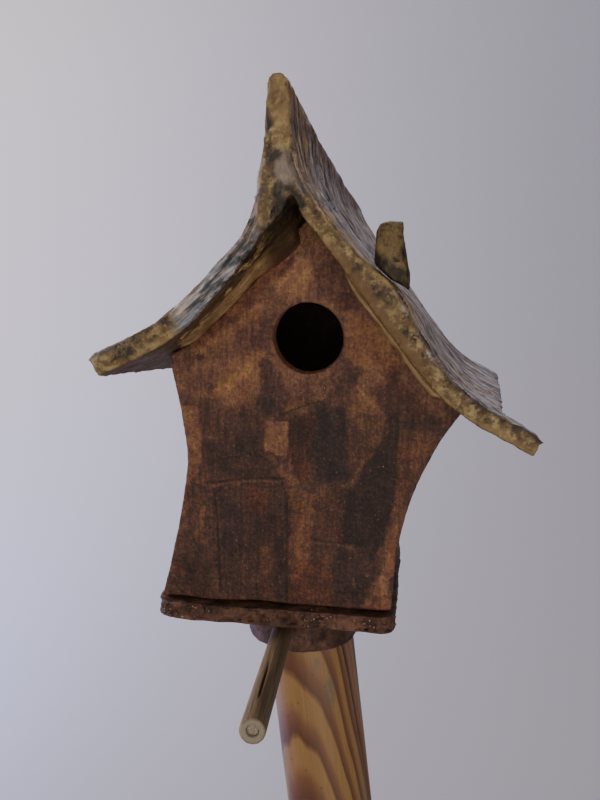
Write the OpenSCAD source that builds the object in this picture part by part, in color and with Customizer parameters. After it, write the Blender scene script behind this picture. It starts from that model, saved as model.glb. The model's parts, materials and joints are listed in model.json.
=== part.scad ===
// Slab-built stoneware birdhouse with a swept witch-hat roof, set loosely
// on a round pine pole. Front faces -Y, +X is to the right of the front.
// The origin is the centre of the pole's foot, on the ground.

/* [Pole] */
// Diameter of the round pine pole
pole_d = 47; // [30:1:48]
// Length of the pole above the ground
pole_len = 500; // [200:10:1500]
// How far the house leans on the loose pole, to the right of the front
lean = 7.5; // [0:0.5:8]

/* [Collar] */
// Bore of the clay collar that drops over the pole
collar_bore = 51; // [50.6:0.1:54]
// Wall of the collar
collar_wall = 4; // [3:0.5:8]
// Depth that the collar hangs below the floor
collar_h = 27; // [18:1:28]

/* [Floor] */
// Width of the floor slab
floor_w = 117; // [112:1:140]
// Depth of the floor slab
floor_d = 114; // [108:1:140]
// Thickness of the floor slab
floor_t = 8.5; // [5:0.5:14]

/* [Body] */
// Depth of the body over the front and back walls
body_d = 104; // [80:1:108]
// Thickness of the four walls
wall_t = 9.5; // [6:0.5:12]
// Left edge of the front wall at its waist, measured from the middle
waist_left = 49.6; // [44:0.2:54]
// Right edge of the front wall at its foot, measured from the middle
foot_right = 48.7; // [44:0.1:52]
// How far the left wall's foot flares out from its waist
flare_left = 13.6; // [4:0.2:16]
// How far the right wall leans out at its top
flare_right = 26; // [10:1:30]

/* [Entrance] */
// Diameter of the entrance hole
entrance_d = 32.6; // [26:0.2:40]
// Sideways place of the entrance hole
entrance_x = 7; // [-4:1:12]
// Height of the entrance hole above the underside of the floor
entrance_z = 139; // [110:1:146]

/* [Roof] */
// Thickness of the two roof slabs
roof_t = 8.8; // [5:0.2:10]
// How far the roof runs out before the front wall
front_overhang = 30; // [15:1:45]
// How far the roof runs out behind the back wall
back_overhang = 16; // [8:1:30]
// Height of the pinched front tip above the underside of the floor
tip_z = 247; // [225:1:280]
// Height of the ridge at the back
back_ridge_z = 204; // [200:1:215]
// Half width of the pinched ridge
ridge_half = 4.8; // [3:0.2:7]
// Reach of the left eave from the middle
left_reach = 84; // [74:1:95]
// Reach of the right eave from the middle
right_reach = 109; // [98:1:118]

/* [Chimney] */
// Diameter of the rolled-clay chimney at its top
chimney_top_d = 11.4; // [8:0.2:16]
// Diameter of the chimney at its foot
chimney_foot_d = 14; // [9:0.2:18]
// Height of the chimney's top above the underside of the floor
chimney_z = 191; // [180:1:205]

/* [Perch] */
// Diameter of the cane perch
perch_d = 9.8; // [6:0.2:11]
// Length of the perch in front of the collar
perch_reach = 115; // [50:1:130]
// Bore of the cane, filled with pith
cane_bore = 4.8; // [3:0.2:5.4]
// How far the pith has shrunk back from the tip
pith_recess = 1.6; // [0.5:0.1:5]

/* [Hidden] */
$fn = 96;

STONEWARE = "#5e3f30";
DARK_CLAY = "#40302a";
ROOF_CLAY = "#8a7448";
PINE = "#b08a52";
CANE = "#6f5d42";

seat = 0.3;             // play left where one piece rests on another
front_y = -body_d / 2;  // outer face of the front wall
back_y = body_d / 2;
roof_front = front_y - front_overhang;
roof_back = back_y + back_overhang;
roof_depth = roof_back - roof_front;
steps_wide = 22;        // points down each slope
crowding = 1.6;         // how much the upper points of a slope crowd towards the ridge

// Depths at which the roof is cut into sections, one at each wall face
stations = [
    for (i = [0 : 5]) mix(roof_front, front_y, i / 6),
    for (i = [0 : 8]) mix(front_y, back_y - wall_t, i / 8),
    for (i = [0 : 1]) mix(back_y, roof_back, i)];

// ---- The roof's rule, at share v of its depth, on side s (-1 left, 1 right)

chimney_x = 43;
chimney_back = 10.5;    // how far the chimney stands behind the roof's front edge
ridge_x_front = -3.7;
ridge_x_back = 18;
arch_shift = 6;         // how far the slabs' inner seam lies right of the ridge
fade_left = 2.3;        // width over which the spike fades into each slope
fade_right = 2.1;
pinch_len = 14;         // width over which the left slab is pinched thin
sweep_power = 1.15;     // how quickly the ridge drops behind the tip
knee_h = 8.4;           // swelling of the right slope beside the chimney
knee_w = 12;
knee_x = 5;             // how far its middle lies outside the chimney
bend_w = [0.1, 0.05];   // softness of the bend in each slope
torn_edge = 0.4;        // unevenness of the roof's torn ends
cut_edge = 0.04;        // unevenness of the side walls' cut ends
// Heights at which each eave ends, and at which each slope would meet the
// ridge without its spike, at the front and at the back
eave_left_front_z = 130;
eave_left_back_z = 114;
eave_right_front_z = 102.5;
eave_right_back_z = 108.5;
slope_left_front_z = 191.5;
slope_left_back_z = 190;
slope_right_front_z = 214.5;
slope_right_back_z = 196;
arch_front_z = 203;     // top of the arch between the slabs, front and back
arch_back_z = 188;
reach_lost = 7;         // how much shorter the right slope is at the back
torn_back = 17;         // how far the right eave is torn back behind its front tip
torn_len = 9;           // depth of that front tip

function mix(a, b, v) = a + (b - a) * v;
function pick(s, pair) = s < 0 ? pair[0] : pair[1];
function share_at(y) = (y - roof_front) / roof_depth;
function ridge_x(v) = mix(ridge_x_front, ridge_x_back, v);
function ridge_z(v) = mix(back_ridge_z, tip_z, pow(max(0, 1 - v), sweep_power));
function eave_x(s, v) = s < 0 ? -left_reach : mix(right_reach, right_reach - reach_lost, v);
function eave_z(s, v) = s < 0 ? mix(eave_left_front_z, eave_left_back_z, v)
    : mix(eave_right_front_z, eave_right_back_z, v);
function body_z(s, v) = s < 0 ? mix(slope_left_front_z, slope_left_back_z, v)
    : mix(slope_right_front_z, slope_right_back_z, v);
function arch_z(v) = mix(arch_front_z, arch_back_z, v);
function slope_run(s, v) = abs(eave_x(s, v) - ridge_x(v)) - ridge_half;
function torn(s, v) = s < 0 ? 0
    : torn_back * (1 - v) * (1 - exp(-pow(v * roof_depth / torn_len, 2)));

// Share of a slope's drop still to come at share t of its width: a steep
// stretch, a soft bend and a flatter eave
eave_share = [0.44, 0.44];
bend_at = [0.59, 0.67];
function soft(s, t) = let (w = pick(s, bend_w)) w * ln(1 + exp((pick(s, bend_at) - t) / w));
function fall_raw(s, t) =
    pick(s, eave_share) * (1 - t) + (1 - pick(s, eave_share)) * (soft(s, t) - soft(s, 1));
function fall(s, t) = fall_raw(s, t) / fall_raw(s, 0);
function knee(s, v, d) = s < 0 ? 0
    : knee_h * (1 - v)
        * exp(-pow((d + ridge_x_front + ridge_half - chimney_x - knee_x) / knee_w, 2));
function slope_z(s, v, d) =
    mix(eave_z(s, v), body_z(s, v), fall(s, d / slope_run(s, v)));
function steepness(s, v, d) = slope_z(s, v, d - 0.5) - slope_z(s, v, d + 0.5);

// The left slab thins where it is pinched up into the spike
function thickness(s, v, d) =
    s > 0 ? roof_t : roof_t * mix(1, 0.42, (1 - v) * exp(-max(0, d) / pinch_len));
function under_z(s, v, d) =
    slope_z(s, v, d) - thickness(s, v, d) * sqrt(1 + pow(steepness(s, v, d), 2));
function spike(s, v) = ridge_z(v) - ridge_half - body_z(s, v);
function top_z(s, v, d) =
    slope_z(s, v, d) + knee(s, v, d) + spike(s, v) * exp(-d / pick(s, [fade_left, fade_right]));

// Underside of the roof at a place (x, y)
function seam_x(v) = ridge_x(v) + arch_shift * (1 - v / 2);
function ceiling(x, y) =
    let (v = share_at(y), s = x < seam_x(v) ? -1 : 1)
    min(arch_z(v), under_z(s, v, s * (x - ridge_x(v)) - ridge_half));

// One cross-section of a roof slab
function roof_section(s, v) =
    let (run = slope_run(s, v) - torn(s, v),
         lip = roof_t * sin(atan(steepness(s, v, run - 0.5))),
         inner_start = s * (seam_x(v) - ridge_x(v)) - ridge_half,
         cap = [for (a = [0 : 22.5 : 67.5]) [ridge_half * sin(a),
                     ridge_z(v) - ridge_half * (1 - cos(a))]],
         outer = [for (i = [0 : steps_wide]) let (d = run * pow(i / steps_wide, crowding))
                     [ridge_half + d, top_z(s, v, d)]],
         inner = [for (i = [steps_wide : -1 : 1])
                     let (d = mix(inner_start, run - lip, i / steps_wide))
                     [ridge_half + d, min(arch_z(v), under_z(s, v, d))]],
         seam = [[ridge_half + inner_start, arch_z(v)]])
    [for (p = concat(cap, outer, inner, seam))
        [ridge_x(v) + s * p[0], mix(roof_front, roof_back, v), p[1]]];

// A closed skin over a row of cross-sections with equal numbers of points.
// Its two cut ends wave inwards along Y by up to twice rough, as torn clay does.
// opposite tells, for each point along a section's first side, how many points
// back from the section's last one its partner across the end face lies.
module loft(sections, turn = 1, rough = 0, opposite = undef) {
    n = len(sections[0]);
    m = len(sections);
    facing = is_undef(opposite) ? [for (i = [0 : n / 2 - 1]) i] : opposite;
    points = [for (j = [0 : m - 1]) for (i = [0 : n - 1])
        let (inward = j == 0 ? 1 : j == m - 1 ? -1 : 0)
        sections[j][i] + [0, inward * rough * (1 + sin(137 * i)), 0]];
    sides = [for (j = [0 : m - 2]) for (i = [0 : n - 1])
        let (a = j * n + i, b = j * n + (i + 1) % n)
        each [[a, a + n, b], [b, a + n, b + n]]];
    near_end = [for (i = [0 : len(facing) - 2]) each concat(
        [[i, i + 1, n - 1 - facing[i]]],
        facing[i + 1] > facing[i]
            ? [for (k = [facing[i] : facing[i + 1] - 1]) [i + 1, n - 2 - k, n - 1 - k]] : [])];
    far_end = [for (f = near_end) [for (k = [2, 1, 0]) (m - 1) * n + f[k]]];
    faces = concat(sides, near_end, far_end);
    polyhedron(points,
        turn > 0 ? faces : [for (f = faces) [for (k = [len(f) - 1 : -1 : 0]) f[k]]],
        convexity = 6);
}

// The outer points crowd towards the ridge, and the inner ones are even
module roof_slab(s) {
    facing = concat([0, 0, 0, 0],
        [for (k = [0 : steps_wide]) round(steps_wide * pow(k / steps_wide, crowding))]);
    loft([for (y = stations) roof_section(s, share_at(y))], s, torn_edge, facing);
}

// ---- The body's outline

waist_z = 79;
right_top_z = 104;
right_power = 2.6;
left_power = 1.3;
function left_edge(z) =
    -waist_left - flare_left * pow(abs(z - waist_z) / (waist_z - floor_t), left_power);
function right_edge(z) = foot_right + flare_right * pow(max(0, z) / right_top_z, right_power);
function edge_x(s, z) = s < 0 ? left_edge(z) : right_edge(z);

// Height at which an edge, moved in by inset, meets the roof at depth y
function meet_z(s, y, inset, z = 110, n = 12) =
    n == 0 ? z
    : meet_z(s, y, inset, (z + ceiling(edge_x(s, z) - s * inset, y) - seat) / 2, n - 1);

edge_steps = 14;
crown_steps = 28;

// Outline of a gable wall whose two faces lie at y1 and y2
function gable(y1, y2) =
    let (zl = min(meet_z(-1, y1, 0), meet_z(-1, y2, 0)),
         zr = min(meet_z(1, y1, 0), meet_z(1, y2, 0)),
         xl = left_edge(zl),
         xr = right_edge(zr))
    concat(
        [for (i = [0 : edge_steps]) let (z = mix(floor_t, zr, i / edge_steps))
            [right_edge(z), z]],
        [for (i = [1 : crown_steps - 1]) let (x = mix(xr, xl, i / crown_steps))
            [x, min(ceiling(x, y1), ceiling(x, y2)) - seat]],
        [for (i = [edge_steps : -1 : 0]) let (z = mix(floor_t, zl, i / edge_steps))
            [left_edge(z), z]]);

module gable_wall(y1, y2) {
    translate([0, y2, 0]) rotate([90, 0, 0])
        linear_extrude(y2 - y1, convexity = 6) polygon(gable(y1, y2));
}

// Cross-section of a side wall at depth y
function side_section(s, y) =
    let (z_out = meet_z(s, y, 0), z_in = meet_z(s, y, wall_t))
    concat(
        [for (i = [0 : edge_steps]) let (z = mix(floor_t, z_out, i / edge_steps))
            [edge_x(s, z), y, z]],
        [for (i = [edge_steps : -1 : 0]) let (z = mix(floor_t, z_in, i / edge_steps))
            [edge_x(s, z) - s * wall_t, y, z]]);

module side_wall(s) {
    inner = body_d / 2 - wall_t;
    loft([side_section(s, -inner), side_section(s, inner)], -s, cut_edge);
}

// ---- Clay coils pressed into the corner between a gable and the roof

coil_r = 3.4;
coil_sides = 8;
coil_steps = 20;

// Coil on side s, pressed against the gable face at y, out = -1 front, 1 back
module coil(s, y, out) {
    yc = y + out * coil_r;
    z_end = meet_z(s, y, 0);
    x0 = seam_x(share_at(yc)) + s * 1.6 * coil_r;
    x1 = edge_x(s, z_end) - s * coil_r;
    rings = [for (j = [0 : coil_steps])
        let (x = mix(x0, x1, j / coil_steps),
             e = 0.5,
             rise = (ceiling(x + e, yc) - ceiling(x - e, yc)) / (2 * e),
             k = 1 / sqrt(1 + rise * rise),
             drop = coil_r + seat)
        [for (i = [0 : coil_sides - 1])
            let (a = 360 * i / coil_sides,
                 up = coil_r * cos(a) - drop,
                 fwd = coil_r * sin(a))
            [x - rise * k * up, yc + fwd, min(ceiling(x, yc - coil_r), ceiling(x, yc + coil_r))
                + k * up]]];
    loft(rings, -s);
}

// ---- Placing the tilted house on its pole

pole_r = pole_d / 2;
pole_axis_x = 0.6;       // where the pole's axis meets the floor's underside
collar_x = 0.5;          // middle of the collar
bore_x = 2.3;            // its bore was pushed off centre by the leaning pole
perch_x = -5.7;          // where the cane leaves the collar
perch_swing = 2.8;       // how far the cane turns to the right
house_x = -pole_axis_x * cos(lean);
touch = (pole_r - house_x) / cos(lean);  // where the pole's rim carries the floor
house_z = pole_len + touch * sin(lean) + seat;

module in_house() {
    translate([house_x, 0, house_z]) rotate([0, lean, 0]) children();
}

// ---- Perch line: through the collar's front wall, rising a little

perch_rise = 5.5;
perch_z = -12.5;
collar_r = collar_bore / 2 + collar_wall;
perch_tail = collar_wall - 0.6;

module along_perch() {
    translate([perch_x, -collar_r, perch_z])
        rotate([90 - perch_rise, 0, perch_swing]) children();
}

// ---- The pieces

module pole() {
    color(PINE) cylinder(d = pole_d, h = pole_len);
}

module collar() {
    round_r = 3;
    lip = 1.5;
    color(DARK_CLAY) in_house() difference() {
        translate([collar_x, 0, 0]) rotate_extrude()
            polygon(concat([[0, 0], [0, -collar_h]],
                [for (a = [0 : 15 : 75]) [collar_r - round_r * (1 - sin(a)),
                    -collar_h + round_r * (1 - cos(a))]],
                [[collar_r, -collar_h + round_r], [collar_r, 0]]));
        translate([bore_x, 0, -collar_h - 1]) cylinder(d = collar_bore, h = collar_h + 2);
        translate([bore_x, 0, -collar_h - 0.01])
            cylinder(d1 = collar_bore + 2 * lip, d2 = collar_bore, h = 2 * lip);
        along_perch() translate([0, 0, -3 * collar_wall])
            cylinder(d = perch_d + 2 * 0.2, h = 6 * collar_wall);
    }
}

floor_x = -7;
corner_r = 9;
module floor_slab() {
    w = floor_w / 2 - corner_r;
    d = floor_d / 2 - corner_r;
    outline = [for (q = [0 : 3]) for (a = [0 : 15 : 90])
        let (sx = q == 0 || q == 3 ? 1 : -1, sy = q < 2 ? 1 : -1)
        [floor_x + sx * w + corner_r * cos(90 * q + a), sy * d + corner_r * sin(90 * q + a)]];
    color(DARK_CLAY) in_house() linear_extrude(floor_t) polygon(outline);
}

module front_wall() {
    color(STONEWARE) in_house() difference() {
        gable_wall(front_y, front_y + wall_t);
        translate([entrance_x, front_y - 1, entrance_z]) rotate([-90, 0, 0])
            cylinder(d = entrance_d, h = wall_t + 2);
    }
}

module back_wall() {
    color(STONEWARE) in_house() gable_wall(back_y - wall_t, back_y);
}

module left_wall() { color(STONEWARE) in_house() side_wall(-1); }
module right_wall() { color(STONEWARE) in_house() side_wall(1); }
module left_roof() { color(ROOF_CLAY) in_house() roof_slab(-1); }
module right_roof() { color(ROOF_CLAY) in_house() roof_slab(1); }
module front_left_coil() { color(ROOF_CLAY) in_house() coil(-1, front_y, -1); }
module front_right_coil() { color(ROOF_CLAY) in_house() coil(1, front_y, -1); }
module back_left_coil() { color(ROOF_CLAY) in_house() coil(-1, back_y, 1); }
module back_right_coil() { color(ROOF_CLAY) in_house() coil(1, back_y, 1); }

// Its foot is cut to the plane that the right slope makes around it
chimney_y = roof_front + chimney_back;
function top_at(x, y) =
    let (v = share_at(y)) top_z(1, v, x - ridge_x(v) - ridge_half);

module chimney() {
    foot_r = chimney_foot_d / 2;
    foot = top_at(chimney_x, chimney_y);
    down_x = top_at(chimney_x - foot_r, chimney_y) - top_at(chimney_x + foot_r, chimney_y);
    down_y = top_at(chimney_x, chimney_y - foot_r) - top_at(chimney_x, chimney_y + foot_r);
    pitch = atan(down_x / chimney_foot_d);
    cant = -atan(down_y / chimney_foot_d * cos(pitch));
    buried = foot_r * tan(pitch) + 3;
    cutter = 6 * chimney_foot_d;
    color(ROOF_CLAY) in_house() difference() {
        translate([chimney_x, chimney_y, foot - buried])
            cylinder(d1 = chimney_foot_d, d2 = chimney_top_d, h = chimney_z - foot + buried);
        translate([chimney_x, chimney_y, foot + 2 * seat]) rotate([cant, pitch, 0])
            translate([-cutter / 2, -cutter / 2, -cutter]) cube(cutter);
    }
}

module perch_cane() {
    color(CANE) in_house() along_perch() difference() {
        translate([0, 0, -perch_tail]) cylinder(d = perch_d, h = perch_reach + perch_tail);
        translate([0, 0, -perch_tail - 1]) cylinder(d = cane_bore, h = perch_reach + perch_tail + 2);
    }
}

module perch_pith() {
    color(CANE) in_house() along_perch() translate([0, 0, -perch_tail])
        cylinder(d = cane_bore, h = perch_reach + perch_tail - pith_recess);
}

pole();
collar();
floor_slab();
front_wall();
back_wall();
left_wall();
right_wall();
left_roof();
right_roof();
front_left_coil();
front_right_coil();
back_left_coil();
back_right_coil();
chimney();
perch_cane();
perch_pith();
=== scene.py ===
"""Hand-built stoneware birdhouse with a swept witch-hat roof, sitting loosely
on a round pine pole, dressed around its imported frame."""
import json
import math

import bpy
import bmesh
import numpy as np
from mathutils import Matrix, Vector, noise
from mathutils.bvhtree import BVHTree
from mathutils.kdtree import KDTree

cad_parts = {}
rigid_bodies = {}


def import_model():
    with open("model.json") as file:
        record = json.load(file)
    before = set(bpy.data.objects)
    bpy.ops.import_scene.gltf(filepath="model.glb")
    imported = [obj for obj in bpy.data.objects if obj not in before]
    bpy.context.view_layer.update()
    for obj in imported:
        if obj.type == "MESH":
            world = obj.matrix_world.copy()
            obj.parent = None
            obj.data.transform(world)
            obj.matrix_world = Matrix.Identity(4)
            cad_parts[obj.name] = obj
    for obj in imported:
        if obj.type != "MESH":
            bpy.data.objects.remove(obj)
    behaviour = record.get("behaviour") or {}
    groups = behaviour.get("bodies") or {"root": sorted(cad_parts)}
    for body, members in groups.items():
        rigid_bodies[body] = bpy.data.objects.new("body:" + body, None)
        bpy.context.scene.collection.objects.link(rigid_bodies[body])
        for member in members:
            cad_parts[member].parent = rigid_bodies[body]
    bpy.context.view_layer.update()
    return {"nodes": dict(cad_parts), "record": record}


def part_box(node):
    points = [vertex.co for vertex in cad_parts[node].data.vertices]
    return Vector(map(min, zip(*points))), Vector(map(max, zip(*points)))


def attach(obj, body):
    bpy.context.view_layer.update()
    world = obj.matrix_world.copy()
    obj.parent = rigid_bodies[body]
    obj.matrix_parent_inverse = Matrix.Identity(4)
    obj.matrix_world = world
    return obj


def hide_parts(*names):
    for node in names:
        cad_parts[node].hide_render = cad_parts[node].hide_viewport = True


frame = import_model()

# ---- The tilted house on its pole
# The potter's house leans on the pole that it was dropped over. Its own
# sizes read best in millimetres, upright, with Y = 0 in its middle and
# Z = 0 under the floor slab, so pieces are shaped there and then tilted.
LEAN = math.radians(7.5)
ENTRANCE = Vector((7, -47.25, 139))  # the middle of the hole, halfway through the wall

entrance = next(m for m in frame["record"]["mounts"] if m["name"] == "entrance")
tilt = Matrix.Rotation(LEAN, 4, "Y")
house_origin = Vector(entrance["pos_m"]) - tilt @ (ENTRANCE / 1000)
HOUSE = Matrix.Translation(house_origin) @ tilt @ Matrix.Scale(0.001, 4)

# ---- Camera
# A hand-held view, level with the roof and looking slightly down, a little to
# the right, so that the entrance, the perch's cut end and the right eave show.
CAMERA_AT = (55.6, -434, 180.7)  # in house millimetres
CAMERA_TURN = (80.70, 6.49, 7.96)  # in degrees


def stand(name, data):
    """Stands a mesh, a lamp or the camera in the scene, as an object."""
    made = bpy.data.objects.new(name, data)
    bpy.context.scene.collection.objects.link(made)
    return made


camera = stand("camera", bpy.data.cameras.new("camera"))
bpy.context.scene.camera = camera
camera.data.sensor_fit = "VERTICAL"
camera.data.sensor_height = 24
camera.data.lens = 25.5
camera.location = HOUSE @ Vector(CAMERA_AT)
camera.rotation_euler = [math.radians(a) for a in CAMERA_TURN]

# ---- Roof
# Two thick slabs of wood-grain pressed stoneware, luted along the ridge and
# pinched up with wet fingers into one leaning spike; their ends are torn.


def skin(nodes, cell, rounds):
    """One even skin over CAD nodes, in house millimetres.

    Its cells are cell mm wide, and rounds of smoothing soften its edges like wet clay."""
    shell = bmesh.new()
    for node in nodes:
        shell.from_mesh(frame["nodes"][node].data)
    bmesh.ops.remove_doubles(shell, verts=shell.verts, dist=1e-6)
    mesh = bpy.data.meshes.new("skin")
    shell.to_mesh(mesh)
    shell.free()
    mesh.transform(HOUSE.inverted())
    form = stand("skin", mesh)
    remesh = form.modifiers.new("even cells", "REMESH")
    remesh.mode = "VOXEL"
    remesh.voxel_size = cell
    soften = form.modifiers.new("soft edges", "SMOOTH")
    soften.factor = 0.5
    soften.iterations = rounds
    depsgraph = bpy.context.evaluated_depsgraph_get()
    result = bpy.data.meshes.new_from_object(form.evaluated_get(depsgraph))
    bpy.data.objects.remove(form)
    drop_crumbs(result)
    return result


def drop_crumbs(mesh):
    """Takes off the loose flakes that remeshing leaves beside the one closed skin."""
    ends = np.array([tuple(edge.vertices) for edge in mesh.edges]).T
    island = np.arange(len(mesh.vertices))  # the lowest point that each one hangs on
    while (island[ends[0]] != island[ends[1]]).any():
        for here, there in (ends, ends[::-1]):
            np.minimum.at(island, here, island[there])
        island = island[island]
    loose = island != np.bincount(island).argmax()
    shell = bmesh.new()
    shell.from_mesh(mesh)
    crumbs = [v for v in shell.verts if loose[v.index]]
    bmesh.ops.delete(shell, geom=crumbs, context="VERTS")
    shell.to_mesh(mesh)
    shell.free()


def places(mesh):
    """A mesh's points and their normals as arrays, in the mesh's own units."""
    points = np.empty(len(mesh.vertices) * 3)
    normals = np.empty(len(mesh.vertices) * 3)
    mesh.vertices.foreach_get("co", points)
    mesh.vertices.foreach_get("normal", normals)
    return points.reshape(-1, 3), normals.reshape(-1, 3)


def move(mesh, points):
    """Puts a mesh's points in new places."""
    mesh.vertices.foreach_set("co", np.ascontiguousarray(points).ravel())
    mesh.update()


def lumps(points, size, seed, octaves=1):
    """Smooth unevenness from -1 to 1; size is its width in mm, or those along X, Y and Z."""
    scaled = points / np.array(size, float) + seed * 17.3
    return np.array([noise.fractal(Vector(p), 1.0, 2.0, octaves) for p in scaled])


def strays(points, size, seed, octaves, reach):
    """Moves of about reach mm for each point, so that what is drawn there looks hand-made."""
    return np.stack([lumps(points, size, seed + k, octaves) for k in range(3)], 1) * reach


def keep(mesh, **layers):
    """Stores one number a point under each name, for the material to read."""
    for name, values in layers.items():
        layer = mesh.attributes.new(name, "FLOAT", "POINT")
        layer.data.foreach_set("value", np.ascontiguousarray(values, np.float32))


def rise(values, low, high):
    """Rises softly from 0 at low to 1 at high."""
    t = np.clip((values - low) / (high - low), 0, 1)
    return t * t * (3 - 2 * t)


def dab(points, x, z, wide, high, turn, edge):
    """A soft brush dab on the front, turned anticlockwise in degrees: 1 in it, 0 outside."""
    across, up = points[:, 0] - x, points[:, 2] - z
    c, s = math.cos(math.radians(turn)), math.sin(math.radians(turn))
    reach = np.hypot((across * c + up * s) / wide, (up * c - across * s) / high)
    return 1 - rise(reach, 1 - edge, 1 + edge)


def stroke(points, corners, width, edge=0.5):
    """A line drawn on the front through (x, z) corners, 1 on it and 0 beside it."""
    away = np.full(len(points), 1e9)
    spot = points[:, [0, 2]]
    for a, b in zip(corners[:-1], corners[1:]):
        a, b = np.array(a, float), np.array(b, float)
        t = np.clip((spot - a) @ (b - a) / ((b - a) @ (b - a)), 0, 1)
        away = np.minimum(away, np.hypot(*(spot - a - t[:, None] * (b - a)).T))
    return 1 - rise(away, width * (1 - edge) / 2, width * (1 + edge) / 2)


def away_from(points, chosen):
    """How far each point is from the nearest chosen one, in mm."""
    tree = KDTree(int(chosen.sum()))
    for i, p in enumerate(points[chosen]):
        tree.insert(p, i)
    tree.balance()
    return np.array([tree.find(p)[2] for p in points])


def place(name, mesh, material, slot, *nodes):
    """Tilts a piece from house millimetres into the frame and hands it over."""
    mesh.transform(HOUSE)
    hand_over(name, mesh, material, slot, *nodes)


def hand_over(name, mesh, material, slot, *nodes):
    """Makes a finished mesh a piece of the one body, in place of the CAD nodes it dresses."""
    mesh.polygons.foreach_set("use_smooth", [True] * len(mesh.polygons))
    mesh.materials.clear()
    mesh.materials.append(material)
    piece = stand(name, mesh)
    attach(piece, "root")
    if nodes:
        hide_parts(*nodes)


def tone(code):
    """A paint-chart colour such as #8a7448, as the linear values that Blender mixes."""
    parts = [int(code[i:i + 2], 16) / 255 for i in (1, 3, 5)]
    return [c / 12.92 if c <= 0.04045 else ((c + 0.055) / 1.055) ** 2.4 for c in parts] + [1]


def feed(tree, node, inputs):
    """Gives a node's inputs a number, a colour, another node's socket, or a node.

    A node stands for its factor, or for its first output where it has none."""
    for key, value in inputs.items():
        if isinstance(value, bpy.types.Node):
            value = value.outputs.get("Fac") or value.outputs[0]
        if isinstance(value, bpy.types.NodeSocket):
            tree.links.new(value, node.inputs[key])
        else:
            node.inputs[key].default_value = value


def add(tree, kind, inputs=None, stops=(), **settings):
    """Adds a node with its inputs and settings; stops are a ramp's (place, colour) pairs."""
    made = tree.nodes.new(kind)
    for i, (at, colour) in enumerate(stops):
        band = made.color_ramp.elements
        stop = band[i] if i < 2 else band.new(at)
        stop.position, stop.color = at, tone(colour)
    for key, value in settings.items():
        setattr(made, key, value)
    feed(tree, made, inputs or {})
    return made


def new_material(name, lean=LEAN, origin=house_origin):
    """An empty material: its tree, its shader, and Object coordinates in house millimetres.

    On those, a pattern's Scale is one over its real size in mm."""
    material = bpy.data.materials.new(name)
    material.use_nodes = True
    tree = material.node_tree
    coordinates = add(tree, "ShaderNodeTexCoord")
    upright = add(tree, "ShaderNodeMapping",
                  {"Vector": coordinates.outputs["Object"], "Location": origin,
                   "Rotation": (0, lean, 0), "Scale": (0.001, 0.001, 0.001)},
                  vector_type="TEXTURE")
    return material, tree, tree.nodes["Principled BSDF"], upright.outputs["Vector"]


def over(tree, below, *layers, blend="MIX"):
    """Brushes colours over what is below, or stains it: each where its attribute says.

    A layer is the attribute's name, the colour, and its greatest strength."""
    for name, colour, strength in layers:
        mask = add(tree, "ShaderNodeAttribute", attribute_name=name)
        amount = add(tree, "ShaderNodeMath", {0: mask, 1: strength},
                     operation="MULTIPLY", use_clamp=True)
        top = tone(colour) if isinstance(colour, str) else colour
        below = add(tree, "ShaderNodeMix", {0: amount, 6: below, 7: top},
                    data_type="RGBA", blend_type=blend).outputs[2]
    return below


def flecked(tree, below, pattern, low, high, strength, colour):
    """Lays a colour over what is below as a pattern passes from low to high."""
    found = add(tree, "ShaderNodeMapRange",
                {"Value": pattern, "From Min": low, "From Max": high, "To Max": strength})
    return add(tree, "ShaderNodeMix", {0: found, 6: below, 7: tone(colour)},
               data_type="RGBA").outputs[2]


def finish(tree, shader, painted, roughness, specular, pattern, strength, depth):
    """Gives a surface its colour, its gloss, and a pattern pressed in, depth metres deep."""
    bump = add(tree, "ShaderNodeBump",
               {"Height": pattern, "Strength": strength, "Distance": depth})
    feed(tree, shader, {"Base Color": painted, "Roughness": roughness,
                        "Specular IOR Level": specular, "Normal": bump})


def stoneware(name, clay, shade, light, mottle, amount):
    """Fired clay with oxide mottles: the less amount, the more of them.

    It looks matt and slightly rough, with pits as dark as the mottles."""
    material, tree, shader, mm = new_material(name)
    drift, spots, grit = (
        add(tree, "ShaderNodeTexNoise",
            {"Vector": mm, "Scale": scale, "Detail": detail, "Roughness": rough,
             "Distortion": bent})
        for scale, detail, rough, bent in (
            (0.11, 5, 0.62, 0.0),  # its three tones drift over 9 mm
            (0.2, 6, 0.68, 0.3),  # the mottles are about 5 mm wide
            (0.9, 4, 0.6, 0.0)))  # grit and pits of about 1 mm
    painted = add(tree, "ShaderNodeValToRGB", {"Fac": drift},
                  stops=((0.34, shade), (0.66, light), (0.5, clay)))
    painted = flecked(tree, painted, spots, amount, amount + 0.11, 1.0, mottle)
    painted = flecked(tree, painted, grit, 0.44, 0.30, 0.6, mottle)
    finish(tree, shader, painted, 0.6, 0.25, grit, 0.7, 0.0008)
    return material, tree, shader, mm, painted


roof_mesh = skin(["left_roof", "right_roof"], cell=1.17, rounds=2)
points, normals = places(roof_mesh)
x, depth, height = points.T.copy()
torn_front = rise(-normals[:, 1], 0.35, 0.75) * rise(-depth, 66, 74)
torn_back = rise(normals[:, 1], 0.35, 0.75) * rise(depth, 52, 60)
torn = torn_front + torn_back
upper = rise(normals[:, 2], -0.12, 0.12) * (1 - torn)
under = rise(-normals[:, 2], 0.1, 0.4) * (1 - torn)
from_top = away_from(points, upper > 0.9)
from_foot = away_from(points, under > 0.9)

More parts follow.
